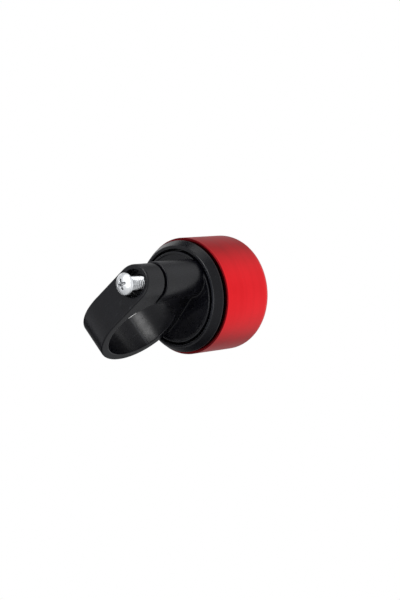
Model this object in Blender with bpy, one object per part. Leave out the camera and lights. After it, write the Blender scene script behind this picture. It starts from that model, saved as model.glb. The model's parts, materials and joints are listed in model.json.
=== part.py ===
"""A small twist bicycle bell on its handlebar clamp, as separate parts, in metres.

Origin: centre of the handlebar bore. +X runs along the handlebar, +Z along the bell's axis
towards the crown, and +Y from the clamp screw towards the bore.
"""

import math

import bmesh
import bpy
from mathutils import Matrix, Vector

MM = 0.001
GAP = 0.3  # between pieces that touch in the real bell
RUN = 0.07  # radial clearance of a turning fit
MERGE = 0.001  # points this close are one

# Clamp, all sizes in millimetres
BAR_R = 11.1  # 22.2 mm handlebar
BAND_R = 13.5
BAND_HALF = 5.3  # half the band's width along the bar
BOSS_R = BAND_HALF
STEM_R = 5.65  # above the slot
BOSS_Y = -14.75
FACE_TILT = math.radians(13)  # the band's flat outer face leans this much from level
SLOT_Z = -2.4
SLOT_W = 0.8
SCREW_R = 2.0  # M4
SCREW_HOLE_R = 2.3
SCREW_HEAD_R = 3.15
SCREW_HEAD_RIM = 0.6
SCREW_HEAD_H = 1.85
SCREW_HEAD_Z = -13.1  # underside of the head, screw backed out as the bell is sold
SCREW_LENGTH = 16.0
SEAT_Z = -7.6  # floor of the screw's counterbore
COUNTERBORE_R = 3.9
INSERT_R = 2.7
INSERT_LENGTH = 6.7
WEB_HALF = 4.45

# Bell, heights in the same frame
BELL_Y = -6.7
DISC_R = 13.4
DISC_BACK = 13.2
DISC_TOP = 15.4
DISC_LIP = 0.25
RING_R = 16.5
RING_BACK = 13.1
RING_BACK_R = 15.0  # the wall widens from here to RING_R
RING_IN = 14.1
FLOOR_LOW = 16.4
FLOOR_TOP = 17.4
RIM_Z = 16.6
RING_SHOULDER = 15.9  # the ring's wall ends here, below the cup's rim
DOME_R = 17.25
DOME_WALL = 1.1
CROWN_Z = 35.9
CROWN_ROUND = 2.2
DIMPLE_R = 5.0
DIMPLE_DEPTH = 1.6

# Turning parts round the bell's axis
JOURNAL_R = 2.05
BUSH_R = 2.6
SQUARE_HALF = 1.2
STAR_LOW = 18.95
STAR_TOP = 21.05
STAR_TEETH = 12
STAR_TIP = 6.0
STAR_ROOT = 4.7
POST_X = 9.8
POST_R = 2.2
POST_TOP = 25.3
BRIDGE_LOW = 25.6
BRIDGE_TOP = 27.2
BRIDGE_HALF = 2.6
BRIDGE_BOSS_R = 3.4
BRIDGE_BOSS_TOP = 32.1

# Hammer, x and y measured from the bell's axis
PIVOT = Vector((4.75, 8.2))
HEAD_AT = Vector((-5.66, 12.14))
TAIL_AT = Vector((3.6, 4.3))
PIN_R = 0.9
ARM_LOW = 19.2
ARM_TOP = 20.8
HAMMER_HEAD_R = 1.7
SPRING_R = 1.75
SPRING_WIRE = 0.22
SPRING_LOW = 21.5
SPRING_TURNS = 3
SPRING_PITCH = 0.5
PEG_AT = Vector((7.95, 9.8))

ROUND = 64  # segments of a large round part
SMALL_ROUND = 32
ROD_PHASE = 0.05  # keeps a rod's edges off those of the part it joins


def clear_scene():
    for obj in list(bpy.data.objects):
        bpy.data.objects.remove(obj, do_unlink=True)


def finish_of(name, colour, roughness, metallic):
    material = bpy.data.materials.new(name)
    material.use_nodes = True
    shader = material.node_tree.nodes["Principled BSDF"]
    shader.inputs["Base Color"].default_value = (*colour, 1.0)
    shader.inputs["Roughness"].default_value = roughness
    shader.inputs["Metallic"].default_value = metallic
    return material


def empty_at(name, x, y, z):
    empty = bpy.data.objects.new(name, None)
    empty.location = Vector((x, y, z)) * MM
    empty.empty_display_size = 0.005
    bpy.context.scene.collection.objects.link(empty)
    return empty


def object_from(bm, name, material=None, parent=None):
    """Turns a bmesh in millimetres into an object in metres."""
    bmesh.ops.scale(bm, vec=(MM, MM, MM), verts=bm.verts)
    bmesh.ops.recalc_face_normals(bm, faces=bm.faces)
    mesh = bpy.data.meshes.new(name)
    bm.to_mesh(mesh)
    bm.free()
    mesh.shade_smooth()
    mesh.set_sharp_from_angle(angle=math.radians(35))
    obj = bpy.data.objects.new(name, mesh)
    bpy.context.scene.collection.objects.link(obj)
    if material is not None:
        mesh.materials.append(material)
    obj.parent = parent
    return obj


def turned_mesh(profile, segments):
    """A closed profile of (radius, height) points turned round Z."""
    bm = bmesh.new()
    points = [bm.verts.new((r, 0, z)) for r, z in profile]
    edges = [bm.edges.new((a, b)) for a, b in zip(points, points[1:] + points[:1])]
    bmesh.ops.spin(
        bm,
        geom=points + edges,
        cent=(0, 0, 0),
        axis=(0, 0, 1),
        angle=math.tau,
        steps=segments,
        use_merge=True,
    )
    bmesh.ops.remove_doubles(bm, verts=bm.verts, dist=MERGE)
    on_axis = [e for e in bm.edges if not e.link_faces]
    bmesh.ops.delete(bm, geom=on_axis, context="EDGES")
    return bm


def turned(name, profile, material=None, parent=None, segments=ROUND, at=(0, 0), phase=0.0):
    bm = turned_mesh(profile, segments)
    if phase:
        turn = Matrix.Rotation(phase, 3, "Z")
        bmesh.ops.rotate(bm, cent=(0, 0, 0), matrix=turn, verts=bm.verts)
    bmesh.ops.translate(bm, vec=(at[0], at[1], 0), verts=bm.verts)
    return object_from(bm, name, material, parent)


def prism_mesh(outline, low, high, lift):
    """An outline of 2-D points, raised from low to high. lift places a point in space."""
    bm = bmesh.new()
    base = [bm.verts.new(lift(a, b, low)) for a, b in outline]
    face = bm.faces.new(base)
    raised = bmesh.ops.extrude_face_region(bm, geom=[face])
    top = [g for g in raised["geom"] if isinstance(g, bmesh.types.BMVert)]
    shift = Vector(lift(0, 0, high)) - Vector(lift(0, 0, low))
    bmesh.ops.translate(bm, vec=shift, verts=top)
    return bm


def flat_prism(name, outline, low, high, material=None, parent=None):
    """An (x, y) outline raised along Z."""
    bm = prism_mesh(outline, low, high, lambda a, b, h: (a, b, h))
    return object_from(bm, name, material, parent)


def side_prism(name, outline, half, material=None, parent=None):
    """A (y, z) outline raised along X, half to each side."""
    bm = prism_mesh(outline, -half, half, lambda a, b, h: (h, a, b))
    return object_from(bm, name, material, parent)


def rod(name, radius, low, high, at=(0, 0), segments=SMALL_ROUND, material=None, parent=None):
    profile = [(0, low), (radius, low), (radius, high), (0, high)]
    return turned(name, profile, material, parent, segments, at, phase=ROD_PHASE)


def box(name, low, high, parent=None):
    outline = [(low[0], low[1]), (high[0], low[1]), (high[0], high[1]), (low[0], high[1])]
    return flat_prism(name, outline, low[2], high[2], parent=parent)


def combine(obj, operation, *helpers, solver="EXACT"):
    """Joins or cuts helpers, which stay hidden guides of the finished object."""
    for helper in helpers:
        helper.hide_render = True
        helper.display_type = "WIRE"
        step = obj.modifiers.new(helper.name, "BOOLEAN")
        step.operation = operation
        step.solver = solver
        step.object = helper


def circle(radius, segments, centre=(0, 0), start=0.0, sweep=math.tau):
    """Points along an arc; a full circle leaves out its repeated last point."""
    last = segments if sweep == math.tau else segments + 1
    angles = [start + sweep * i / segments for i in range(last)]
    return [
        (centre[0] + radius * math.cos(a), centre[1] + radius * math.sin(a)) for a in angles
    ]


def capsule(start, end, start_r, end_r, segments=10):
    """Outline round two discs of different size, joined by straight sides."""
    along = end - start
    heading = math.atan2(along.y, along.x)
    lean = math.acos((start_r - end_r) / along.length)
    back = circle(start_r, segments, start, heading + lean, math.tau - 2 * lean)
    front = circle(end_r, segments, end, heading - lean, 2 * lean)
    return back + front


# Clamp


def bracket_profile():
    """The fixed disc that closes the bell's back, with a raised lip round its edge."""
    lip = DISC_BACK - DISC_LIP
    return [
        (0, DISC_BACK),
        (DISC_R - 0.95, DISC_BACK),
        (DISC_R - 0.7, lip),
        (DISC_R - 0.25, lip),
        (DISC_R, lip + 0.25),
        (DISC_R, DISC_TOP),
        (0, DISC_TOP),
    ]


def make_bracket(material):
    """Disc, stem, split boss and handlebar band, moulded as one piece."""
    band = bmesh.new()
    bmesh.ops.create_cone(
        band,
        cap_ends=True,
        segments=96,
        radius1=BAND_R,
        radius2=BAND_R,
        depth=2 * BAND_HALF,
    )
    bmesh.ops.rotate(band, cent=(0, 0, 0), matrix=quarter_turn(), verts=band.verts)
    bracket = object_from(band, "bracket", material)

    touch_y = -BAND_R * math.sin(FACE_TILT)
    touch_z = -BAND_R * math.cos(FACE_TILT)
    face_z = touch_z + (touch_y - BOSS_Y) * math.tan(FACE_TILT)
    flank = [
        (touch_y, touch_z),
        (touch_y, 0),
        (-8.0, 9.6),
        (BOSS_Y, 5.0),
        (BOSS_Y, face_z),
    ]
    block = side_prism("guide_block", flank, BAND_HALF)
    into_disc = DISC_BACK + 0.9
    web_outline = [
        (BOSS_Y, 3.0),
        (-2.0, 12.0),
        (1.5, 12.9),
        (2.5, into_disc),
        (BOSS_Y, into_disc),
    ]
    web = side_prism("guide_web", web_outline, WEB_HALF)
    stem_profile = [
        (0, face_z - 4),
        (BOSS_R, face_z - 4),
        (BOSS_R, SLOT_Z),
        (STEM_R, SLOT_Z),
        (STEM_R, into_disc),
        (0, into_disc),
    ]
    stem = turned("guide_stem", stem_profile, segments=48, at=(0, BOSS_Y))
    disc = turned("guide_disc", bracket_profile(), at=(0, BELL_Y))
    combine(bracket, "UNION", block, stem, web, disc, solver="MANIFOLD")

    reach = 30
    below = [
        (touch_y + reach, touch_z - reach * math.tan(FACE_TILT)),
        (touch_y - reach, touch_z + reach * math.tan(FACE_TILT)),
        (touch_y - reach, touch_z - reach),
        (touch_y + reach, touch_z - reach),
    ]
    face_cut = side_prism("guide_face_cut", below, BAND_HALF + 2)
    bore = bmesh.new()
    bmesh.ops.create_cone(
        bore, cap_ends=True, segments=96, radius1=BAR_R, radius2=BAR_R, depth=2 * BAND_HALF + 4
    )
    bmesh.ops.rotate(bore, cent=(0, 0, 0), matrix=quarter_turn(), verts=bore.verts)
    bore = object_from(bore, "guide_bore")
    slot = box(
        "guide_slot",
        (-BAND_HALF - 2, BOSS_Y - BOSS_R - 2, SLOT_Z - SLOT_W / 2),
        (BAND_HALF + 2, -BAR_R + 2, SLOT_Z + SLOT_W / 2),
    )
    screw_hole = turned(
        "guide_screw_hole",
        [
            (0, face_z - 6),
            (COUNTERBORE_R, face_z - 6),
            (COUNTERBORE_R, SEAT_Z),
            (SCREW_HOLE_R, SEAT_Z),
            (SCREW_HOLE_R, SLOT_Z),
            (INSERT_R + GAP, SLOT_Z),
            (INSERT_R + GAP, SLOT_Z + SLOT_W / 2 + INSERT_LENGTH + GAP),
            (SCREW_HOLE_R, SLOT_Z + SLOT_W / 2 + INSERT_LENGTH + GAP),
            (SCREW_HOLE_R, 9.0),
            (0, 9.0),
        ],
        segments=SMALL_ROUND,
        at=(0, BOSS_Y),
    )
    spindle_hole = rod("guide_spindle_hole", 1.8, 11.0, DISC_TOP + 1, at=(0, BELL_Y))
    combine(bracket, "DIFFERENCE", face_cut, bore, slot, screw_hole, spindle_hole)
    return bracket


def quarter_turn():
    return Matrix.Rotation(math.pi / 2, 3, "Y")


def make_clamp_screw(material, axis):
    """Pan-head machine screw with a cross recess, head down."""
    low = SCREW_HEAD_Z - SCREW_HEAD_H
    tip = SCREW_HEAD_Z + SCREW_LENGTH
    profile = [
        (0, low),
        (SCREW_HEAD_R - 1.5, low + 0.15),
        (SCREW_HEAD_R - 0.5, low + 0.7),
        (SCREW_HEAD_R, SCREW_HEAD_Z - SCREW_HEAD_RIM),
        (SCREW_HEAD_R, SCREW_HEAD_Z),
        (SCREW_R, SCREW_HEAD_Z),
        (SCREW_R, tip - 0.5),
        (SCREW_R - 0.5, tip),
        (0, tip),
    ]
    screw = turned("clamp_screw", profile, material, axis, SMALL_ROUND)
    reach = 1.7
    width = 0.38
    for tag, x, y in (("a", reach, width), ("b", width, reach)):
        cut = box(f"guide_cross_{tag}", (-x, -y, low - 1), (x, y, low + 1.2), axis)
        combine(screw, "DIFFERENCE", cut)
    return screw


def make_threaded_insert(material, axis):
    """Knurled brass insert that the screw pulls on."""
    low = SLOT_Z + SLOT_W / 2 + 0.1
    high = low + INSERT_LENGTH
    teeth = 16
    outline = []
    for i in range(2 * teeth):
        radius = INSERT_R - 0.2 * (i % 2)
        angle = math.pi * i / teeth
        outline.append((radius * math.cos(angle), radius * math.sin(angle)))
    insert = flat_prism("threaded_insert", outline, low, high, material, axis)
    bore = rod("guide_insert_bore", SCREW_R + RUN + 0.03, low - 1, high + 1, parent=axis)
    combine(insert, "DIFFERENCE", bore)
    return insert


# Fixed parts on the bell's axis


def make_spindle(material, axis):
    """Stepped pin: press end, journal, square drive and a neck grooved for the clip."""
    spindle = turned(
        "spindle",
        [
            (0, 11.3),
            (1.5, 11.3),
            (1.5, DISC_TOP + GAP),
            (JOURNAL_R, DISC_TOP + GAP),
            (JOURNAL_R, 18.75),
            (0.8, 18.75),
            (0.8, 22.2),
            (1.35, 22.2),
            (1.35, 22.9),
            (1.1, 23.1),
            (0, 23.1),
        ],
        material,
        axis,
        48,
    )
    side = SQUARE_HALF
    square = box("guide_square", (-side, -side, 18.5), (side, side, 21.3), axis)
    combine(spindle, "UNION", square)
    return spindle


def make_thrust_washer(material, axis):
    low = DISC_TOP + 0.25
    high = low + 0.5
    inner = JOURNAL_R + GAP
    return turned(
        "thrust_washer",
        [(inner, low), (5.0, low), (5.0, high), (inner, high)],
        material,
        axis,
        48,
    )


def make_star_wheel(material, axis):
    """Fixed toothed wheel that flicks the hammer as the bell turns round it."""
    shape = ((0.0, STAR_ROOT), (0.3, STAR_ROOT), (0.58, STAR_TIP), (0.72, STAR_TIP))
    outline = []
    for tooth in range(STAR_TEETH):
        for share, radius in shape:
            angle = math.tau * (tooth + share) / STAR_TEETH + star_turn()
            outline.append((radius * math.cos(angle), radius * math.sin(angle)))
    star = flat_prism("star_wheel", outline, STAR_LOW, STAR_TOP, material, axis)
    side = SQUARE_HALF + GAP
    hole = box("guide_square_hole", (-side, -side, STAR_LOW - 1), (side, side, STAR_TOP + 1), axis)
    combine(star, "DIFFERENCE", hole)
    return star


def star_turn():
    """The wheel's angle that puts the hammer's tail in the middle of a gap."""
    tail = math.atan2(TAIL_AT.y, TAIL_AT.x)
    pitch = math.tau / STAR_TEETH
    return (tail - 0.15 * pitch) % pitch


def make_retaining_clip(material, axis):
    """Open ring in the spindle's groove."""
    opening = math.radians(35)
    sweep = math.tau - 2 * opening
    outer = circle(2.8, 24, start=opening, sweep=sweep)
    inner = circle(1.1, 24, start=opening, sweep=sweep)
    return flat_prism("retaining_clip", outer + inner[::-1], 21.55, 21.95, material, axis)


# Turning parts


def ring_profile():
    """Section of the ring that the fingers turn: wall, floor, rim inside the dome and hub."""
    rim = DOME_R - DOME_WALL - 0.45
    return [
        (RING_IN, RING_BACK + 0.2),
        (RING_IN + 0.2, RING_BACK),
        (RING_BACK_R - 0.1, RING_BACK),
        (RING_BACK_R + 0.1, RING_BACK + 0.2),
        (RING_R, RING_SHOULDER - 0.5),
        (RING_R, RING_SHOULDER),
        (rim, RING_SHOULDER),
        (rim, FLOOR_TOP + 1.0),
        (rim - 1.0, FLOOR_TOP + 1.0),
        (rim - 1.0, FLOOR_TOP),
        (4.6, FLOOR_TOP),
        (4.6, FLOOR_TOP + 0.8),
        (BUSH_R + GAP, FLOOR_TOP + 0.8),
        (BUSH_R + GAP, FLOOR_LOW),
        (RING_IN, FLOOR_LOW),
    ]


def make_twist_ring(material, axis):
    """The ring, with posts for the bridge, a boss for the hammer's pin and the spring's peg."""
    ring = turned("twist_ring", ring_profile(), material, axis)
    into_floor = FLOOR_TOP - 0.5
    for side, x in (("left", -POST_X), ("right", POST_X)):
        at = (x, 0)
        post = rod(f"guide_post_{side}", POST_R, into_floor, POST_TOP, at, parent=axis)
        hole = rod(f"guide_post_hole_{side}", 1.15, 20.0, POST_TOP + 1, at, 16, parent=axis)
        combine(ring, "UNION", post, solver="MANIFOLD")
        combine(ring, "DIFFERENCE", hole, solver="MANIFOLD")
    boss = rod("guide_pin_boss", 2.0, into_floor, 18.5, at=PIVOT, parent=axis)
    peg = rod("guide_peg", 0.7, into_floor, 23.4, at=PEG_AT, parent=axis, segments=16)
    combine(ring, "UNION", boss, peg, solver="MANIFOLD")
    pin_hole = rod("guide_pin_hole", PIN_R + GAP, FLOOR_LOW - 1, 19.5, at=PIVOT, parent=axis)
    combine(ring, "DIFFERENCE", pin_hole, solver="MANIFOLD")
    return ring


def make_ring_bush(material, axis):
    low = FLOOR_LOW - 0.05
    high = FLOOR_TOP + 1.2
    inner = JOURNAL_R + RUN
    return turned(
        "ring_bush",
        [(inner, low), (BUSH_R, low), (BUSH_R, high), (inner, high)],
        material,
        axis,
        48,
    )


def make_bridge(material, axis):
    """Bar between the posts, with the boss that carries the dome."""
    half_length = POST_X + 2.4
    outline = circle(BRIDGE_HALF, 12, (half_length - BRIDGE_HALF, 0), -math.pi / 2, math.pi)
    outline += circle(BRIDGE_HALF, 12, (BRIDGE_HALF - half_length, 0), math.pi / 2, math.pi)
    bridge = flat_prism("bridge", outline, BRIDGE_LOW, BRIDGE_TOP, material, axis)
    boss = rod("guide_bridge_boss", BRIDGE_BOSS_R, BRIDGE_LOW + 0.3, BRIDGE_BOSS_TOP, parent=axis)
    combine(bridge, "UNION", boss)
    bore = rod("guide_bridge_bore", 1.8, BRIDGE_LOW - 1, BRIDGE_BOSS_TOP + 1, parent=axis)
    combine(bridge, "DIFFERENCE", bore)
    for side, x in (("left", -POST_X), ("right", POST_X)):
        name = f"guide_bridge_hole_{side}"
        hole = rod(name, 1.2, BRIDGE_LOW - 1, BRIDGE_TOP + 1, (x, 0), 16, parent=axis)
        combine(bridge, "DIFFERENCE", hole)
    return bridge


def pan_screw(name, material, axis, at, head_r, head_h, shank_r, under, length):
    """Small screw, head up, with a cross recess; under is the height of the head's underside."""
    top = under + head_h
    screw = turned(
        name,
        [
            (0, under - length),
            (shank_r - 0.3, under - length),
            (shank_r, under - length + 0.4),
            (shank_r, under),
            (head_r, under),
            (head_r, top - 0.5),
            (head_r - 0.5, top),
            (0, top),
        ],
        material,
        axis,
        24,
        at,
    )
    reach = 0.55 * head_r
    width = 0.14 * head_r
    for tag, x, y in (("a", reach, width), ("b", width, reach)):
        low = (at[0] - x, at[1] - y, top - 0.6 * head_h)
        high = (at[0] + x, at[1] + y, top + 1)
        combine(screw, "DIFFERENCE", box(f"guide_{name}_{tag}", low, high, axis))
    return screw


def dome_profile():
    """Section of the cup: straight wall, rounded shoulder, flat crown with a sunk centre."""
    inside = DOME_R - DOME_WALL
    under = CROWN_Z - DOME_WALL
    inner_round = CROWN_ROUND - DOME_WALL
    centre_out = (DOME_R - CROWN_ROUND, CROWN_Z - CROWN_ROUND)
    outer = circle(CROWN_ROUND, 6, centre_out, 0, math.pi / 2)
    inner = circle(inner_round, 4, centre_out, 0, math.pi / 2)
    dimple = CROWN_Z - DIMPLE_DEPTH
    hole = 2.0
    return (
        [(inside + 0.3, RIM_Z), (DOME_R - 0.3, RIM_Z), (DOME_R, RIM_Z + 0.3)]
        + outer
        + [
            (DIMPLE_R, CROWN_Z),
            (DIMPLE_R - 0.4, dimple),
            (hole, dimple),
            (hole, dimple - DOME_WALL),
            (DIMPLE_R + 0.7, dimple - DOME_WALL),
            (DIMPLE_R + 1.1, under),
        ]
        + inner[::-1]
        + [(inside, RIM_Z + 0.3)]
    )


def make_dome(material, axis):
    return turned("dome", dome_profile(), material, axis)


def make_dome_washer(material, axis):
    low = BRIDGE_BOSS_TOP + 0.25
    high = CROWN_Z - DIMPLE_DEPTH - DOME_WALL - 0.25
    return turned(
        "dome_washer",
        [(1.9, low), (3.3, low), (3.3, high), (1.9, high)],
        material,
        axis,
        SMALL_ROUND,
    )


# Hammer


def make_hammer_arm(material, axis):
    """Flat lever: eye on the pin, arm out to the head and tail down to the star wheel."""
    head = HEAD_AT - PIVOT
    tail = TAIL_AT - PIVOT
    arm = flat_prism(
        "hammer_arm", capsule(Vector((0, 0)), head, 1.9, 1.4), ARM_LOW, ARM_TOP, material, axis
    )
    finger = flat_prism(
        "guide_tail", capsule(Vector((0, 0)), tail, 1.6, 0.45), ARM_LOW, ARM_TOP, parent=axis
    )
    along = head.normalized()
    lug_at = along * 5.0 + Vector((-along.y, along.x)) * 0.55
    lug = rod("guide_lug", 0.5, ARM_LOW + 0.5, 22.4, at=lug_at, parent=axis, segments=16)
    combine(arm, "UNION", finger, lug)
    pin_hole = rod("guide_arm_hole", PIN_R + RUN, ARM_LOW - 1, ARM_TOP + 1, parent=axis)
    head_hole = rod(
        "guide_head_hole", 1.0, ARM_LOW - 1, ARM_TOP + 1, at=head, parent=axis, segments=16
    )
    combine(arm, "DIFFERENCE", pin_hole, head_hole)
    return arm


def make_hammer_head(material, axis):
    """Steel slug with a stud that sits in the arm's end."""
    return turned(
        "hammer_head",
        [
            (0, ARM_LOW - 0.5),
            (0.7, ARM_LOW - 0.5),
            (0.7, ARM_TOP + GAP),
            (HAMMER_HEAD_R - 0.3, ARM_TOP + GAP),
            (HAMMER_HEAD_R, ARM_TOP + GAP + 0.3),
            (HAMMER_HEAD_R, 23.3),
            (HAMMER_HEAD_R - 0.4, 23.7),
            (0, 23.7),
        ],
        material,
        axis,
        24,
        HEAD_AT - PIVOT,
    )


def make_hammer_pin(material, axis):
    return turned(
        "hammer_pin",
        [
            (0, FLOOR_LOW + 0.2),
            (PIN_R, FLOOR_LOW + 0.2),
            (PIN_R, 23.6),
            (1.6, 23.6),
            (1.6, 24.1),
            (1.3, 24.4),
            (0, 24.4),
        ],
        material,
        axis,
        SMALL_ROUND,
        PIVOT,
    )


def make_hammer_spring(material, axis):
    """Torsion spring: a coil on the pin, one leg on the ring's peg and one on the arm's lug."""
    head = (HEAD_AT - PIVOT).normalized()
    side = Vector((-head.y, head.x))
    arm_leg_end = PIVOT + head * 6.4 + side * 1.75
    start = math.atan2(side.y, side.x)
    end = math.atan2(-side.y, -side.x) - math.radians(35)
    turns = SPRING_TURNS * math.tau + (start - end) % math.tau
    steps = 64
    points = [(*arm_leg_end, SPRING_LOW)]
    for i in range(steps + 1):
        angle = start - turns * i / steps
        height = SPRING_LOW + SPRING_PITCH * turns / math.tau * i / steps
        points.append(
            (PIVOT.x + SPRING_R * math.cos(angle), PIVOT.y + SPRING_R * math.sin(angle), height)
        )
    top = points[-1][2]
    peg = PEG_AT + (PEG_AT - PIVOT).normalized().orthogonal() * 1.25
    points.append((peg.x, peg.y, top))
    curve = bpy.data.curves.new("hammer_spring", "CURVE")
    curve.dimensions = "3D"
    curve.bevel_depth = SPRING_WIRE * MM
    curve.bevel_resolution = 1
    curve.use_fill_caps = True
    spline = curve.splines.new("POLY")
    spline.points.add(len(points) - 1)
    for spot, place in zip(spline.points, points):
        spot.co = (*(Vector(place) * MM), 1)
    curve.materials.append(material)
    spring = bpy.data.objects.new("hammer_spring", curve)
    spring.parent = axis
    bpy.context.scene.collection.objects.link(spring)
    return spring


def main():
    clear_scene()
    black = finish_of("black_nylon", (0.018, 0.019, 0.022), 0.42, 0.0)
    red = finish_of("red_anodised", (0.62, 0.012, 0.022), 0.3, 1.0)
    zinc = finish_of("bright_zinc", (0.82, 0.83, 0.85), 0.22, 1.0)
    steel = finish_of("steel", (0.6, 0.6, 0.62), 0.3, 1.0)
    brass = finish_of("brass", (0.8, 0.6, 0.25), 0.3, 1.0)
    acetal = finish_of("white_acetal", (0.8, 0.8, 0.78), 0.45, 0.0)

    screw_axis = empty_at("screw_axis", 0, BOSS_Y, 0)
    bell_axis = empty_at("bell_axis", 0, BELL_Y, 0)
    hammer_axis = empty_at("hammer_axis", PIVOT.x, BELL_Y + PIVOT.y, 0)

    make_bracket(black)
    make_clamp_screw(zinc, screw_axis)
    make_threaded_insert(brass, screw_axis)
    make_spindle(steel, bell_axis)
    make_thrust_washer(acetal, bell_axis)
    make_star_wheel(acetal, bell_axis)
    make_retaining_clip(steel, bell_axis)
    make_twist_ring(black, bell_axis)
    make_ring_bush(brass, bell_axis)
    make_bridge(steel, bell_axis)
    for side, x in (("left", -POST_X), ("right", POST_X)):
        name = f"bridge_screw_{side}"
        pan_screw(name, zinc, bell_axis, (x, 0), 1.9, 1.3, 0.85, BRIDGE_TOP + 0.25, 6.0)
    make_dome(red, bell_axis)
    make_dome_washer(black, bell_axis)
    under = CROWN_Z - DIMPLE_DEPTH + 0.25
    pan_screw("dome_screw", zinc, bell_axis, (0, 0), 3.0, 1.3, 1.5, under, 7.5)
    make_hammer_arm(steel, hammer_axis)
    make_hammer_head(steel, hammer_axis)
    make_hammer_pin(steel, bell_axis)
    make_hammer_spring(steel, bell_axis)


main()
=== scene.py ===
"""The looks of a small twist bicycle bell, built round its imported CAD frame."""

import json
import math

import bmesh
import bpy
import numpy as np
from mathutils import Matrix, Vector


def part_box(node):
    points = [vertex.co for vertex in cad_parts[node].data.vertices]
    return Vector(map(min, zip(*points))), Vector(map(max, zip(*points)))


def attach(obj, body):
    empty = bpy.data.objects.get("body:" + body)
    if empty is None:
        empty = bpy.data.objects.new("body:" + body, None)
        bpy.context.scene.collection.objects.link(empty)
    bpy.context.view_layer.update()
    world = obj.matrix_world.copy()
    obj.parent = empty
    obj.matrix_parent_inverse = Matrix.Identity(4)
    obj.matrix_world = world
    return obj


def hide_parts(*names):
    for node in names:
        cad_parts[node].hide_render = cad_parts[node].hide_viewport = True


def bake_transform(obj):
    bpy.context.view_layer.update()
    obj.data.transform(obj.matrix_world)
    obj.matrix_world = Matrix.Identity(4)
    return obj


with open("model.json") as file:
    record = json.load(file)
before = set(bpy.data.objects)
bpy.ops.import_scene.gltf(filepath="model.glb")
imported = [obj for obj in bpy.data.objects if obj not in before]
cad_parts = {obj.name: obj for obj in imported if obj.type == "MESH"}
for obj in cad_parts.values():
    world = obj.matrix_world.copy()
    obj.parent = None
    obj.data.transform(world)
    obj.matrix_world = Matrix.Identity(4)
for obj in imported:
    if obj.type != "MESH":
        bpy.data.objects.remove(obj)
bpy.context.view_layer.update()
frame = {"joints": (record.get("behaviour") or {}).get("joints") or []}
joints = {j["name"]: j for j in frame["joints"]}

MM = 0.001

# Places and sizes read from the frame, in millimetres
ring_low, ring_high = (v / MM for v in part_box("twist_ring"))
dome_low, dome_high = (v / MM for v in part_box("dome"))
screw_low, screw_high = (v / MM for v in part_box("clamp_screw"))
pivot = Vector(joints["hammer_swing"]["pos_m"]) / MM

BELL_Y = (dome_low.y + dome_high.y) / 2
DOME_R = (dome_high.x - dome_low.x) / 2
RIM_Z = dome_low.z
CROWN_Z = dome_high.z
RING_R = (ring_high.x - ring_low.x) / 2
RING_BACK = ring_low.z
SCREW_Y = (screw_low.y + screw_high.y) / 2
DISC_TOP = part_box("bracket")[1].z / MM

# Sizes that the frame's boxes don't show, as in the CAD model
BAR_R = 11.1
BAND_R = 13.5
BAND_HALF = 5.3
STEM_R = 5.65
FACE_TILT = math.radians(13)
SLOT_Z = -2.4
SLOT_HALF = 0.4
COUNTERBORE_R = 3.9
SEAT_Z = -7.6
SCREW_R = 2.0
SCREW_HOLE_R = 2.3
SCREW_HOLE_TOP = 9.0
INSERT_HOLE_R = 3.0
INSERT_HOLE_TOP = 5.0
ROOF_Z = 5.0
ROOF_NORMAL = (-0.56, 0.828)
WEB_HALF = 4.45
WEB_TAPER = 0.1
WEB_LOW = 3.0
WEB_END_Y = 1.5
WEB_END_Z = 12.9
WEB_END_SLOPE = 0.667
DISC_R = 13.4
DISC_BACK = 13.2
DISC_LIP = 0.25
FOOT_DEPTH = 0.9
SPINDLE_HOLE_R = 1.8
SPINDLE_HOLE_LOW = 11.0
RING_BACK_R = 15.0
RING_SHOULDER = 15.9
RING_IN = 14.1
FLOOR_LOW = 16.4
FLOOR_TOP = 17.4
RING_RIM_LOW = 14.5
RING_RIM_TOP = 18.4
HUB_R = 4.6
HUB_LOW = 16.6
HUB_TOP = 18.2
HUB_BORE_R = 2.9
POST_LOW = 16.8
POST_X = 9.8
POST_R = 2.2
POST_TOP = 25.3
POST_HOLE_R = 1.15
POST_HOLE_LOW = 20.0
PIN_BOSS_R = 2.0
PIN_BOSS_TOP = 18.5
PIN_HOLE_R = 1.2
PEG = Vector((7.95, 9.8))
PEG_R = 0.7
PEG_TOP = 23.4
DOME_WALL = 1.1
CROWN_ROUND = 2.2
DIMPLE_R = 5.0
DIMPLE_DEPTH = 1.6
STAR_TEETH = 12
STAR_TIP = 6.0
STAR_ROOT = 4.7
HEAD_FROM_PIVOT = Vector((-10.41, 3.94))
TAIL_FROM_PIVOT = Vector((-1.15, -3.9))
PIN_R = 0.9
ARM_LOW = 19.2
ARM_TOP = 20.8
SPRING_R = 1.75
SPRING_Z = 21.5
SPRING_PITCH = 0.5
WIRE_R = 0.22
BRIDGE_LOW = 25.6
BRIDGE_TOP = 27.2


# Shapes by distance: each function gives the distance outside a solid, negative inside


def join_round(a, b, radius):
    """Union with a concave fillet."""
    reach = np.hypot(np.maximum(radius - a, 0), np.maximum(radius - b, 0))
    return np.maximum(radius, np.minimum(a, b)) - reach


def meet_round(a, b, radius):
    """Intersection with a rounded edge."""
    reach = np.hypot(np.maximum(radius + a, 0), np.maximum(radius + b, 0))
    return np.minimum(-radius, np.maximum(a, b)) + reach


def cut_round(a, b, radius):
    """a without b, with a rounded edge."""
    return meet_round(a, -b, radius)


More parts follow.
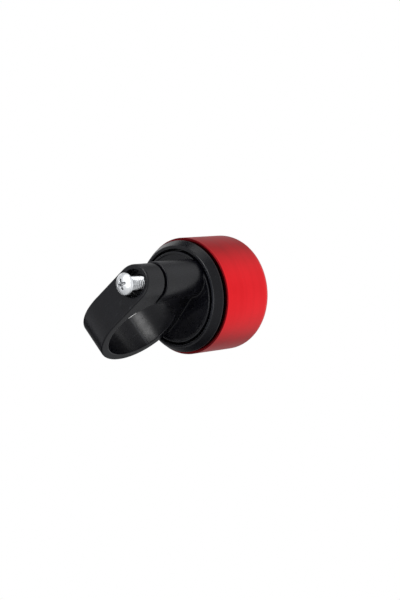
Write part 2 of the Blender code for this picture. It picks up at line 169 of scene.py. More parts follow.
def net_cells(values):
    """Cells of a grid that the surface crosses, with a point in each, in grid units."""
    inside = values < 0
    nx, ny, nz = (n - 1 for n in inside.shape)
    corners = [
        inside[i : i + nx, j : j + ny, k : k + nz]
        for i in (0, 1)
        for j in (0, 1)
        for k in (0, 1)
    ]
    count = sum(c.astype(np.int8) for c in corners)
    crossed = (count > 0) & (count < 8)
    cells = np.argwhere(crossed)
    total = np.zeros((len(cells), 3))
    hits = np.zeros(len(cells))
    steps = np.eye(3, dtype=int)
    for axis in range(3):
        others = [a for a in range(3) if a != axis]
        for m in (0, 1):
            for n in (0, 1):
                start = cells + m * steps[others[0]] + n * steps[others[1]]
                end = start + steps[axis]
                a = values[tuple(start.T)]
                b = values[tuple(end.T)]
                hit = (a < 0) != (b < 0)
                share = np.where(hit, a / np.where(hit, a - b, 1), 0)
                point = start + share[:, None] * steps[axis]
                total += np.where(hit[:, None], point, 0)
                hits += hit
    return crossed, cells, total / hits[:, None]


def net_faces(values, crossed, cells):
    """One quad across each grid edge that the surface crosses."""
    index = -np.ones(crossed.shape, int)
    index[tuple(cells.T)] = np.arange(len(cells))
    inside = values < 0
    faces = []
    for axis in range(3):
        u, v = (axis + 1) % 3, (axis + 2) % 3
        low = [slice(None)] * 3
        high = [slice(None)] * 3
        low[axis] = slice(0, -1)
        high[axis] = slice(1, None)
        change = inside[tuple(low)] != inside[tuple(high)]
        at = np.argwhere(change)
        at = at[(at[:, u] > 0) & (at[:, v] > 0)]
        at = at[(at[:, u] < crossed.shape[u]) & (at[:, v] < crossed.shape[v])]
        step_u = np.zeros(3, int)
        step_v = np.zeros(3, int)
        step_u[u] = 1
        step_v[v] = 1
        quad = np.stack(
            [index[tuple((at - s).T)] for s in (step_u + step_v, step_v, 0 * step_u, step_u)], 1
        )
        leaving = inside[tuple(at.T)]
        quad[~leaving] = quad[~leaving][:, ::-1]
        faces.append(quad)
    return np.concatenate(faces)


def gradient(distance, points, step=0.01):
    slopes = []
    for axis in range(3):
        shift = np.zeros(3)
        shift[axis] = step
        ahead = distance(*(points + shift).T)
        behind = distance(*(points - shift).T)
        slopes.append((ahead - behind) / (2 * step))
    return np.stack(slopes, 1)


def solid_from(name, distance, low, high, pitch):
    """A fine closed mesh of a distance function, its points moved onto the exact surface."""
    low = np.array(low) - 2 * pitch
    counts = np.ceil((np.array(high) + 2 * pitch - low) / pitch).astype(int) + 1
    axes = [low[i] + pitch * np.arange(counts[i]) for i in range(3)]
    values = distance(*np.meshgrid(*axes, indexing="ij"))
    crossed, cells, points = net_cells(values)
    faces = net_faces(values, crossed, cells)
    points = low + points * pitch
    for _ in range(4):
        slope = gradient(distance, points)
        size = np.maximum((slope**2).sum(1), 0.25)
        move = (distance(*points.T) / size)[:, None] * slope
        points = points - np.clip(move, -pitch / 2, pitch / 2)
    mesh = bpy.data.meshes.new(name)
    mesh.from_pydata((points * MM).tolist(), [], faces.tolist())
    mesh.validate()
    mesh.shade_smooth()
    return placed(name, mesh)


def placed(name, mesh):
    obj = bpy.data.objects.new(name, mesh)
    bpy.context.scene.collection.objects.link(obj)
    return obj


# Turned and helical shapes


def fillet(points, radii, steps=6):
    """A closed outline with each corner rounded by its own radius."""
    smooth = []
    for i, corner in enumerate(points):
        corner = Vector(corner)
        before = Vector(points[i - 1]) - corner
        after = Vector(points[(i + 1) % len(points)]) - corner
        radius = radii[i]
        if radius <= 0:
            smooth.append(tuple(corner))
            continue
        half = before.angle(after) / 2
        cut = min(radius / math.tan(half), 0.49 * before.length, 0.49 * after.length)
        start = corner + before.normalized() * cut
        end = corner + after.normalized() * cut
        for k in range(steps + 1):
            t = k / steps
            smooth.append(tuple((1 - t) ** 2 * start + 2 * t * (1 - t) * corner + t * t * end))
    return smooth


def turned(name, outline, segments, at):
    """A closed (radius, height) outline turned round a vertical axis, in millimetres."""
    bm = bmesh.new()
    rings = []
    for r, z in outline:
        if r < 1e-6:
            rings.append([bm.verts.new((at[0], at[1], z))])
            continue
        ring = []
        for i in range(segments):
            angle = math.tau * i / segments
            ring.append(bm.verts.new((at[0] + r * math.cos(angle), at[1] + r * math.sin(angle), z)))
        rings.append(ring)
    for here, there in zip(rings, rings[1:] + rings[:1]):
        for i in range(segments):
            n = (i + 1) % segments
            if len(here) == 1 and len(there) == 1:
                continue
            if len(here) == 1:
                bm.faces.new((here[0], there[i], there[n]))
            elif len(there) == 1:
                bm.faces.new((here[i], there[0], here[n]))
            else:
                bm.faces.new((here[i], there[i], there[n], here[n]))
    bmesh.ops.recalc_face_normals(bm, faces=bm.faces)
    bmesh.ops.scale(bm, vec=(MM, MM, MM), verts=bm.verts)
    mesh = bpy.data.meshes.new(name)
    bm.to_mesh(mesh)
    bm.free()
    mesh.shade_smooth()
    mesh.set_sharp_from_angle(angle=math.radians(40))
    return placed(name, mesh)


# Distances of the moulded pieces, in millimetres


def slab(value, low, high):
    """Distance outside a range of one coordinate."""
    return np.abs(value - (low + high) / 2) - (high - low) / 2


def bracket_distance(x, y, z):
    """Disc, stem, split boss and band in one, with the fillets a moulding has."""
    from_bell = np.hypot(x, y - BELL_Y)
    from_screw = np.hypot(x, y - SCREW_Y)
    from_bar = np.hypot(y, z)
    disc = meet_round(from_bell - DISC_R, slab(z, DISC_BACK, DISC_TOP), 0.2)
    lip = slab(from_bell, DISC_R - 0.8, DISC_R)
    lip = meet_round(lip, slab(z, DISC_BACK - DISC_LIP, DISC_TOP - 0.5), 0.22)
    disc = join_round(disc, lip, 0.12)

    pad = np.hypot(x, np.minimum(y - SCREW_Y, 0)) - BAND_HALF
    touch_y = -BAND_R * math.sin(FACE_TILT)
    touch_z = -BAND_R * math.cos(FACE_TILT)
    face = -(y - touch_y) * math.sin(FACE_TILT) - (z - touch_z) * math.cos(FACE_TILT)
    roof = ROOF_NORMAL[0] * (y - SCREW_Y) + ROOF_NORMAL[1] * (z - ROOF_Z)
    flank = np.maximum(meet_round(pad, face, 0.4), y - touch_y)
    flank = np.maximum(flank, roof)
    band = meet_round(from_bar - BAND_R, np.abs(x) - BAND_HALF, 0.4)
    stem = meet_round(from_screw - STEM_R, slab(z, SLOT_Z, DISC_BACK + FOOT_DEPTH), 0.15)
    clamp = np.minimum(band, flank)
    clamp = join_round(clamp, stem, 0.35)
    web_side = WEB_HALF + WEB_TAPER * np.clip(y + 10.0, -5, 5)
    web = np.maximum(np.abs(x) - web_side, slab(z, WEB_LOW, DISC_BACK + FOOT_DEPTH))
    web_end = y - WEB_END_Y - WEB_END_SLOPE * (z - WEB_END_Z)
    web = np.maximum(web, np.maximum(SCREW_Y - y, web_end))
    clamp = join_round(clamp, web, 0.1)
    body = np.minimum(clamp, join_round(web, disc, 0.2))
    ring_room = np.maximum(DISC_R + 0.25 - from_bell, 12.5 - z)
    body = cut_round(body, ring_room, 0.2)

    body = cut_round(body, from_bar - BAR_R, 0.12)
    slot = np.maximum(np.abs(z - SLOT_Z) - SLOT_HALF, y + BAR_R - 2)
    body = cut_round(body, slot, 0.2)
    counterbore = np.maximum(from_screw - COUNTERBORE_R, z - SEAT_Z)
    body = cut_round(body, counterbore, 0.3)
    screw_hole = np.maximum(from_screw - SCREW_HOLE_R, z - SCREW_HOLE_TOP)
    insert_hole = np.maximum(from_screw - INSERT_HOLE_R, slab(z, SLOT_Z, INSERT_HOLE_TOP))
    body = cut_round(body, np.minimum(screw_hole, insert_hole), 0.1)
    spindle_hole = np.maximum(from_bell - SPINDLE_HOLE_R, SPINDLE_HOLE_LOW - z)
    return cut_round(body, spindle_hole, 0.1)


def ring_distance(x, y, z):
    """The ring that the fingers turn, with its floor, posts, pin boss and spring peg."""
    from_bell = np.hypot(x, y - BELL_Y)
    widening = (RING_R - RING_BACK_R) / (RING_SHOULDER - 0.5 - RING_BACK)
    outside = RING_BACK_R + widening * (z - RING_BACK)
    outside = np.maximum((from_bell - outside) / math.hypot(1, widening), from_bell - RING_R)
    wall = meet_round(outside, slab(z, RING_BACK, RING_SHOULDER), 0.18)
    wall = meet_round(wall, RING_IN - from_bell, 0.2)
    rim_r = DOME_R - DOME_WALL - 0.45
    rim = meet_round(slab(from_bell, rim_r - 1.0, rim_r), slab(z, RING_RIM_LOW, RING_RIM_TOP), 0.25)
    floor = np.maximum(from_bell - rim_r + 0.3, slab(z, FLOOR_LOW, FLOOR_TOP))
    hub = meet_round(from_bell - HUB_R, slab(z, HUB_LOW, HUB_TOP), 0.2)
    body = join_round(np.minimum(wall, rim), np.minimum(floor, hub), 0.25)
    for px, py, radius, top in (
        (-POST_X, 0, POST_R, POST_TOP),
        (POST_X, 0, POST_R, POST_TOP),
        (pivot.x, pivot.y - BELL_Y, PIN_BOSS_R, PIN_BOSS_TOP),
        (PEG.x, PEG.y, PEG_R, PEG_TOP),
    ):
        away = np.hypot(x - px, y - BELL_Y - py)
        post = meet_round(away - radius, slab(z, POST_LOW, top), 0.2)
        body = join_round(body, post, 0.4)
    for px in (-POST_X, POST_X):
        hole = np.maximum(np.hypot(x - px, y - BELL_Y) - POST_HOLE_R, POST_HOLE_LOW - z)
        body = cut_round(body, hole, 0.1)
    pin_hole = np.hypot(x - pivot.x, y - pivot.y) - PIN_HOLE_R
    body = cut_round(body, pin_hole, 0.1)
    return cut_round(body, from_bell - HUB_BORE_R, 0.15)


def thread(x, y, z, pitch):
    """A right-handed thread's form: 0 at its crest and 1 at its root."""
    share = z / pitch - np.arctan2(y, x) / math.tau
    share = share - np.floor(share)
    return np.clip(2.5 * np.abs(share - 0.5) - 0.12, 0, 1)


def screw_distance(x, y, z, spec):
    """A pan-head screw with a cross recess and a real thread, on the z axis."""
    away = np.hypot(x, y)
    over = (z - spec["under"]) * spec["up"]
    head_r, head_h, rim = spec["head_r"], spec["head_h"], spec["rim"]
    root = spec["depth"] * thread(x, y, z, spec["pitch"])
    root = root * np.clip(-over / spec["pitch"], 0, 1)
    point = 0.707 * (away - spec["radius"] - over - spec["length"] + 0.5)
    shank = np.maximum(0.8 * (away - spec["radius"] + root), slab(over, -spec["length"], 0.2))
    shank = np.maximum(shank, point)
    rise = head_h - rim
    ball_r = (head_r**2 + rise**2) / (2 * rise)
    cap = np.hypot(away, over - head_h + ball_r) - ball_r
    head = meet_round(meet_round(away - head_r, -over, 0.08), cap, 0.15)
    along = x * math.cos(spec["turn"]) + y * math.sin(spec["turn"])
    across = y * math.cos(spec["turn"]) - x * math.sin(spec["turn"])
    sunk = head_h - over
    arm = spec["cross"] - 0.45 * sunk
    width = 0.21 * spec["cross"] - 0.06 * sunk
    slots = np.minimum(
        np.maximum(np.abs(along) - arm, np.abs(across) - width),
        np.maximum(np.abs(across) - arm, np.abs(along) - width),
    )
    bowl = np.hypot(along, across) - 0.5 * spec["cross"] + 0.3 * sunk
    recess = np.maximum(np.minimum(slots, bowl), sunk - spec["sink"])
    return cut_round(join_round(shank, head, 0.1), recess, 0.07)


def insert_distance(x, y, z):
    """Brass insert, knurled outside in two bands, with a threaded bore."""
    away = np.hypot(x, y)
    angle = np.arctan2(y, x)
    knurl = 0.1 * np.cos(16 * angle + 1.2 * z) * np.cos(16 * angle - 1.2 * z)
    waist = 0.35 * np.exp(-(((z - 1.45) / 0.7) ** 2))
    body = meet_round(away - 2.58 - knurl + waist, slab(z, -1.9, 4.8), 0.15)
    bore = away - 2.1 - 0.15 * thread(x, y, z, 0.7)
    return cut_round(body, bore, 0.08)


def spindle_distance(x, y, z):
    """Stepped pin with a square drive and a grooved neck, on the bell's axis."""
    y = y - BELL_Y
    away = np.hypot(x, y)
    square = meet_round(np.maximum(np.abs(x), np.abs(y)) - 1.2, slab(z, 18.5, 21.3), 0.1)
    body = meet_round(away - 1.5, slab(z, 11.3, 16.0), 0.15)
    journal = meet_round(away - 2.05, slab(z, DISC_TOP + 0.3, 18.75), 0.12)
    neck = np.maximum(away - 0.8, slab(z, 18.6, 22.4))
    tip = meet_round(away - 1.35, slab(z, 22.2, 23.1), 0.25)
    body = np.minimum(np.minimum(body, journal), np.minimum(neck, tip))
    return join_round(body, square, 0.08)


def star_distance(x, y, z):
    """The fixed wheel whose teeth flick the hammer's tail."""
    y = y - BELL_Y
    pitch = math.tau / STAR_TEETH
    tail = pivot.to_2d() + TAIL_FROM_PIVOT - Vector((0, BELL_Y))
    turn = math.atan2(tail.y, tail.x) - 0.15 * pitch
    share = (np.arctan2(y, x) - turn) / pitch
    share = share - np.floor(share)
    shares = (0.0, 0.3, 0.58, 0.72, 1.0)
    radii = (STAR_ROOT, STAR_ROOT, STAR_TIP, STAR_TIP, STAR_ROOT)
    rim = 0.75 * (np.hypot(x, y) - np.interp(share, shares, radii))
    wheel = meet_round(rim, slab(z, 18.95, 21.05), 0.12)
    well = meet_round(slab(np.hypot(x, y), 2.6, 4.0), 20.6 - z, 0.2)
    wheel = cut_round(wheel, well, 0.1)
    return cut_round(wheel, np.maximum(np.abs(x), np.abs(y)) - 1.5, 0.1)


def clip_distance(x, y, z):
    """Open ring in the spindle's groove."""
    y = y - BELL_Y
    opening = math.radians(35)
    ring = meet_round(slab(np.hypot(x, y), 1.1, 2.8), slab(z, 21.55, 21.95), 0.08)
    gap = np.abs(y) * math.cos(opening) - x * math.sin(opening)
    return cut_round(ring, gap, 0.12)


def lever(x, y, end, start_r, end_r):
    """Distance in the plane from a bar that tapers from the origin to end."""
    share = np.clip((x * end.x + y * end.y) / end.length_squared, 0, 1)
    return np.hypot(x - share * end.x, y - share * end.y) - start_r - (end_r - start_r) * share


def arm_distance(x, y, z):
    """The hammer's flat lever, with its eye, tail and spring lug."""
    x = x - pivot.x
    y = y - pivot.y
    along = HEAD_FROM_PIVOT.normalized()
    lug_x = 5.0 * along.x - 0.55 * along.y
    lug_y = 5.0 * along.y + 0.55 * along.x
    bars = join_round(
        lever(x, y, HEAD_FROM_PIVOT, 1.9, 1.4), lever(x, y, TAIL_FROM_PIVOT, 1.6, 0.45), 0.4
    )
    arm = meet_round(bars, slab(z, ARM_LOW, ARM_TOP), 0.15)
    lug = meet_round(np.hypot(x - lug_x, y - lug_y) - 0.5, slab(z, ARM_LOW + 0.5, 22.4), 0.1)
    arm = join_round(arm, lug, 0.15)
    arm = cut_round(arm, np.hypot(x, y) - PIN_R - 0.07, 0.1)
    head_hole = np.hypot(x - HEAD_FROM_PIVOT.x, y - HEAD_FROM_PIVOT.y) - 1.0
    return cut_round(arm, head_hole, 0.1)


def bridge_distance(x, y, z):
    """The bar over the mechanism, with the boss that carries the cup."""
    y = y - BELL_Y
    away = np.hypot(x, y)
    bar = np.hypot(np.maximum(np.abs(x) - POST_X + 0.2, 0), y) - 2.6
    bar = meet_round(bar, slab(z, BRIDGE_LOW, BRIDGE_TOP), 0.2)
    boss = meet_round(away - 3.4, slab(z, BRIDGE_LOW + 0.3, CROWN_Z - 3.8), 0.2)
    body = join_round(bar, boss, 0.4)
    body = cut_round(body, away - 1.8, 0.15)
    return cut_round(body, np.hypot(np.abs(x) - POST_X, y) - 1.2, 0.1)


# Finishes. Texture coordinates are the object's own, in metres, so they move with each piece


class Finish:
    """A material whose base colour, roughness and bump come from noise at real scales."""

    def __init__(self, name, metallic=0.0):
        self.material = bpy.data.materials.new(name)
        self.material.use_nodes = True
        self.tree = self.material.node_tree
        self.shader = self.tree.nodes["Principled BSDF"]
        self.shader.inputs["Metallic"].default_value = metallic
        self.place = self.tree.nodes.new("ShaderNodeTexCoord").outputs["Object"]
        self.normal = None

    def set(self, **values):
        for name, value in values.items():
            self.shader.inputs[name.replace("_", " ")].default_value = value

    def math(self, operation, a, b):
        node = self.tree.nodes.new("ShaderNodeMath")
        node.operation = operation
        for socket, value in zip(node.inputs, (a, b)):
            if isinstance(value, (int, float)):
                socket.default_value = value
            else:
                self.tree.links.new(value, socket)
        return node.outputs[0]

    def stretched(self, x, y, z):
        """The piece's coordinates scaled on each axis; grain is drawn out along a small scale."""
        node = self.tree.nodes.new("ShaderNodeMapping")
        node.inputs["Scale"].default_value = (x, y, z)
        self.tree.links.new(self.place, node.inputs["Vector"])
        return node.outputs[0]

    def round_axis(self, at_y):
        """Coordinates of (radius, height) round an upright axis, so that grain runs in circles."""
        parts = self.tree.nodes.new("ShaderNodeSeparateXYZ")
        self.tree.links.new(self.place, parts.inputs[0])
        aside = self.math("SUBTRACT", parts.outputs["Y"], at_y * MM)
        square = self.math("MULTIPLY", parts.outputs["X"], parts.outputs["X"])
        square = self.math("ADD", square, self.math("MULTIPLY", aside, aside))
        radius = self.math("SQRT", square, 0.0)
        joined = self.tree.nodes.new("ShaderNodeCombineXYZ")
        self.tree.links.new(radius, joined.inputs["X"])
        self.tree.links.new(parts.outputs["Z"], joined.inputs["Z"])
        return joined.outputs[0]

    def noise(self, size, detail=3.0, vector=None, rough=0.5):
        """Noise with features about size millimetres across, from 0 to 1."""
        node = self.tree.nodes.new("ShaderNodeTexNoise")
        node.inputs["Scale"].default_value = 1 / (size * MM)
        node.inputs["Detail"].default_value = detail
        node.inputs["Roughness"].default_value = rough
        self.tree.links.new(vector or self.place, node.inputs["Vector"])
        return node.outputs["Fac"]

    def ramp(self, value, *stops):
        """A colour or grey for each (place, colour) stop."""
        node = self.tree.nodes.new("ShaderNodeValToRGB")
        bar = node.color_ramp.elements
        while len(bar) < len(stops):
            bar.new(1.0)
        for element, (place, colour) in zip(bar, stops):
            element.position = place
            grey = isinstance(colour, (int, float))
            element.color = (colour, colour, colour, 1) if grey else (*colour, 1)
        self.tree.links.new(value, node.inputs["Fac"])
        return node.outputs["Color"]

    def edges(self, low, high):
        """Where the surface bends outwards sharply, from 0 to 1."""
        shape = self.tree.nodes.new("ShaderNodeNewGeometry")
        return self.ramp(shape.outputs["Pointiness"], (low, 0.0), (high, 1.0))

    def mixed(self, share, a, b):
        node = self.tree.nodes.new("ShaderNodeMix")
        node.data_type = "RGBA"
        self.tree.links.new(share, node.inputs["Factor"])
        for socket, value in ((node.inputs["A"], a), (node.inputs["B"], b)):
            if isinstance(value, tuple):
                socket.default_value = (*value, 1)
            else:
                self.tree.links.new(value, socket)
        return node.outputs["Result"]

    def colour(self, value):
        self.tree.links.new(value, self.shader.inputs["Base Color"])

    def roughness(self, value):
        self.tree.links.new(value, self.shader.inputs["Roughness"])

    def bump(self, height, depth):
        """Relief of depth millimetres."""
        node = self.tree.nodes.new("ShaderNodeBump")
        node.inputs["Strength"].default_value = 1.0
        node.inputs["Distance"].default_value = depth * MM
        self.tree.links.new(height, node.inputs["Height"])
        if self.normal is not None:
            self.tree.links.new(self.normal, node.inputs["Normal"])
        self.normal = node.outputs["Normal"]
        self.tree.links.new(self.normal, self.shader.inputs["Normal"])


def black_nylon():
    """Moulded nylon: fine satin grain, flow marks, hairline scratches and paler edges."""
    look = Finish("black_nylon")
    look.set(IOR=1.5, Specular_IOR_Level=0.32)
    cloud = look.noise(6.0, 4.0)
    base = look.ramp(cloud, (0.3, (0.0016, 0.0016, 0.0030)), (0.7, (0.0032, 0.0032, 0.0055)))
    scratch = look.noise(0.35, 2.0, look.stretched(1.0, 0.06, 0.35))
    marks = look.ramp(scratch, (0.66, 0.0), (0.74, 1.0))
    base = look.mixed(marks, base, (0.012, 0.013, 0.016))
    base = look.mixed(look.edges(0.52, 0.62), base, (0.016, 0.017, 0.021))
    look.colour(base)
    gloss = look.noise(1.6, 4.0)
    gloss = look.ramp(gloss, (0.25, 0.24), (0.75, 0.34))
    look.roughness(look.mixed(marks, gloss, (0.55, 0.55, 0.55)))
    look.bump(look.noise(0.16, 2.0), 0.003)
    look.bump(look.noise(2.5, 2.0), 0.012)
    look.bump(scratch, 0.003)
    return look.material


def red_anodised():
    """Spun and dyed aluminium: fine circular tool lines under a satin red film, with painted shade
    on the rim.
    """
    look = Finish("red_anodised", 1.0)
    look.set(Coat_Weight=0.06, Coat_Roughness=0.3)
    lines = look.noise(0.12, 2.0, look.round_axis(BELL_Y), 0.6)
    bands = look.noise(1.4, 3.0, look.round_axis(BELL_Y))
    cloud = look.noise(7.0, 3.0)
    base = look.ramp(cloud, (0.3, (0.68, 0.008, 0.013)), (0.7, (0.76, 0.012, 0.018)))
    tool = look.ramp(bands, (0.35, (0.64, 0.007, 0.012)), (0.65, (0.78, 0.013, 0.020)))
    base = look.mixed(look.ramp(lines, (0.3, 0.25), (0.7, 0.6)), base, tool)
    nicks = look.ramp(look.noise(0.5, 3.0, look.stretched(0.3, 1.0, 0.8)), (0.71, 0.0), (0.76, 1.0))
    base = look.mixed(nicks, base, (0.50, 0.03, 0.04))
    # Painted shade: the rim face and its rounded edge, up to about half a millimetre above the rim,
    # are darkened to a deep red in place of the shade there.
    parts = look.tree.nodes.new("ShaderNodeSeparateXYZ")
    look.tree.links.new(look.place, parts.inputs[0])
    above_rim = look.math("SUBTRACT", parts.outputs["Z"], RIM_Z * MM)
    above_rim = look.math("DIVIDE", above_rim, 0.5 * MM)
    base = look.mixed(look.ramp(above_rim, (0.3, 1.0), (0.9, 0.0)), base, (0.16, 0.003, 0.006))
    look.colour(base)
    gloss = look.ramp(bands, (0.3, 0.31), (0.7, 0.38))
    look.roughness(look.mixed(nicks, gloss, (0.5, 0.5, 0.5)))
    look.bump(lines, 0.0035)
    look.bump(look.noise(0.09, 2.0), 0.002)
    return look.material


def bright_zinc():
    """Blue-white plating with a fine crystalline mottle and dull patches, with painted shade in its
    hollows.
    """
    look = Finish("bright_zinc", 1.0)
    cloud = look.noise(0.9, 4.0)
    base = look.ramp(cloud, (0.3, (0.86, 0.88, 0.90)), (0.7, (0.94, 0.95, 0.96)))
    # Painted shade: where the surface is hollow, in the thread's roots and the cross recess, the
    # colour goes near black.
    hollows = look.tree.nodes.new("ShaderNodeNewGeometry").outputs["Pointiness"]
    look.colour(look.mixed(look.ramp(hollows, (0.46, 1.0), (0.5, 0.0)), base, (0.05, 0.05, 0.06)))
    look.roughness(look.ramp(look.noise(0.35, 4.0), (0.3, 0.34), (0.75, 0.48)))
    look.bump(look.noise(0.12, 3.0), 0.0025)
    return look.material


def steel():
    """Drawn and stamped steel with brushed grain and a trace of oil."""
    look = Finish("steel", 1.0)
    grain = look.noise(0.2, 3.0, look.stretched(0.08, 1.0, 1.0))
    cloud = look.noise(2.2, 4.0)
    base = look.ramp(cloud, (0.3, (0.44, 0.44, 0.45)), (0.7, (0.60, 0.60, 0.61)))
    look.colour(look.mixed(look.ramp(grain, (0.3, 0.0), (0.7, 0.35)), base, (0.36, 0.35, 0.34)))
    look.roughness(look.ramp(cloud, (0.3, 0.26), (0.7, 0.42)))
    look.bump(grain, 0.004)
    return look.material


def brass():
    """Plain brass with a light mottle."""
    look = Finish("brass", 1.0)
    cloud = look.noise(1.5, 4.0)
    look.colour(look.ramp(cloud, (0.3, (0.60, 0.40, 0.15)), (0.7, (0.78, 0.57, 0.25))))
    look.roughness(look.ramp(look.noise(0.4, 3.0), (0.3, 0.22), (0.7, 0.4)))
    look.bump(look.noise(0.1, 2.0), 0.004)
    return look.material


def acetal():
    """Natural white acetal, a little uneven in gloss."""
    look = Finish("acetal")
    cloud = look.noise(2.0, 3.0)
    look.colour(look.ramp(cloud, (0.3, (0.70, 0.69, 0.64)), (0.7, (0.80, 0.79, 0.75))))
    look.roughness(look.ramp(look.noise(0.6, 3.0), (0.3, 0.32), (0.7, 0.48)))
    look.bump(look.noise(0.15, 2.0), 0.004)
    return look.material


def black_rubber():
    """Dull rubber."""
    look = Finish("black_rubber")
    cloud = look.noise(1.0, 4.0)
    look.colour(look.ramp(cloud, (0.3, (0.012, 0.012, 0.012)), (0.7, (0.030, 0.029, 0.028))))
    look.roughness(look.ramp(look.noise(0.4, 3.0), (0.3, 0.7), (0.7, 0.9)))
    look.bump(look.noise(0.08, 2.0), 0.01)
    return look.material


def floor_paint():
    """Pale studio floor."""
    look = Finish("floor_paint")
    cloud = look.noise(180.0, 3.0)
    look.colour(look.ramp(cloud, (0.3, (0.90, 0.90, 0.90)), (0.7, (0.91, 0.91, 0.91))))
    look.roughness(look.ramp(look.noise(40.0, 3.0), (0.3, 0.6), (0.7, 0.75)))
    return look.material


# Pieces


def finished(piece, body, node, slot):
    """Puts a piece in a CAD node's place, on a body if one is given."""
    if body:
        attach(piece, body)
    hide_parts(node)
    piece.data.materials.clear()
    piece.data.materials.append(looks[slot])
    return piece


def moulded(node, body, slot, distance, pitch):
    """A fine piece from a distance function, in place of a CAD node."""
    low, high = (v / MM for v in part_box(node))
    return finished(solid_from(f"{node}_fine", distance, low, high, pitch), body, node, slot)


def lathed(node, body, slot, corners, at):
    """A turned piece from (radius, height, rounding) corners, in place of a CAD node."""
    outline = fillet([c[:2] for c in corners], [c[2] for c in corners])
    return finished(turned(f"{node}_fine", outline, 128, at), body, node, slot)


def screw(node, body, up, at, **spec):
    """A screw from its sizes, with its head up (1) or down (-1), in place of a CAD node."""
    low, high = (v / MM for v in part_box(node))
    spec["up"] = up
    spec["under"] = high.z - spec["head_h"] if up > 0 else low.z + spec["head_h"]
    spec["length"] = high.z - low.z - spec["head_h"]

    def distance(x, y, z):
        return screw_distance(x - at[0], y - at[1], z, spec)

    return finished(solid_from(f"{node}_fine", distance, low, high, 0.1), body, node, "bright_zinc")


def make_dome():
    """The cup: spun wall, rounded rim and shoulder, crown with a sunk centre."""
    inside = DOME_R - DOME_WALL
    under = CROWN_Z - DOME_WALL
    dimple = CROWN_Z - DIMPLE_DEPTH
    corners = [
        (inside, RIM_Z, 0.3),
        (DOME_R, RIM_Z, 0.35),
        (DOME_R, CROWN_Z, CROWN_ROUND * 1.15),
        (DIMPLE_R, CROWN_Z, 0.3),
        (DIMPLE_R - 0.4, dimple, 0.4),
        (2.0, dimple, 0.1),
        (2.0, dimple - DOME_WALL, 0.1),
        (DIMPLE_R + 0.7, dimple - DOME_WALL, 0.5),
        (DIMPLE_R + 1.1, under, 0.3),
        (inside, under, CROWN_ROUND - DOME_WALL),
    ]
    outline = fillet([c[:2] for c in corners], [c[2] for c in corners], 12)
    return finished(turned("dome_fine", outline, 320, (0, BELL_Y)), "cup", "dome", "red_anodised")


def make_outside():
    moulded("bracket", "clamp", "black_nylon", bracket_distance, 0.2)
    moulded("twist_ring", "cup", "black_nylon", ring_distance, 0.2)
    make_dome()
    screw(
        "clamp_screw", "screw", -1, (0, SCREW_Y),
        head_r=3.15, head_h=1.85, rim=0.6, radius=SCREW_R, depth=0.43,
        pitch=0.7, cross=1.75, sink=1.0, turn=0.5,
    )


def make_spring():
    """Torsion spring on the hammer's pin: one leg rests on the peg, one runs out along the arm."""
    head = HEAD_FROM_PIVOT.normalized()
    side = Vector((-head.y, head.x))
    centre = pivot.to_2d()
    leg_end = centre + head * 6.4 + side * SPRING_R
    start = math.atan2(side.y, side.x)
    end = math.atan2(-side.y, -side.x) - math.radians(35)
    turns = 3 * math.tau + (start - end) % math.tau
    steps = 200
    coil_start = centre + SPRING_R * side
    leg_steps = 24
    points = []
    for i in range(leg_steps):
        spot = leg_end.lerp(coil_start, i / leg_steps)
        points.append((spot.x, spot.y, SPRING_Z))
    for i in range(steps + 1):
        angle = start - turns * i / steps
        spot = centre + SPRING_R * Vector((math.cos(angle), math.sin(angle)))
        rise = SPRING_PITCH * turns / math.tau * i / steps
        points.append((spot.x, spot.y, SPRING_Z + rise))
    from_peg = Vector((PEG.x, PEG.y + BELL_Y))
    leg = from_peg + (from_peg - centre).normalized().orthogonal() * 1.25
    points.append((leg.x, leg.y, points[-1][2]))
    curve = bpy.data.curves.new("hammer_spring_fine", "CURVE")
    curve.dimensions = "3D"
    curve.bevel_depth = WIRE_R * MM
    curve.bevel_resolution = 4
    curve.use_fill_caps = True
    spline = curve.splines.new("POLY")
    spline.points.add(len(points) - 1)
    for spot, place in zip(spline.points, points):
        spot.co = (*(Vector(place) * MM), 1)
    guide = placed("spring_path", curve)
    graph = bpy.context.evaluated_depsgraph_get()
    mesh = bpy.data.meshes.new_from_object(guide.evaluated_get(graph))
    bpy.data.objects.remove(guide)
    mesh.shade_smooth()
    piece = placed("hammer_spring_fine", mesh)
    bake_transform(piece)
    return finished(piece, None, "hammer_spring", "steel")


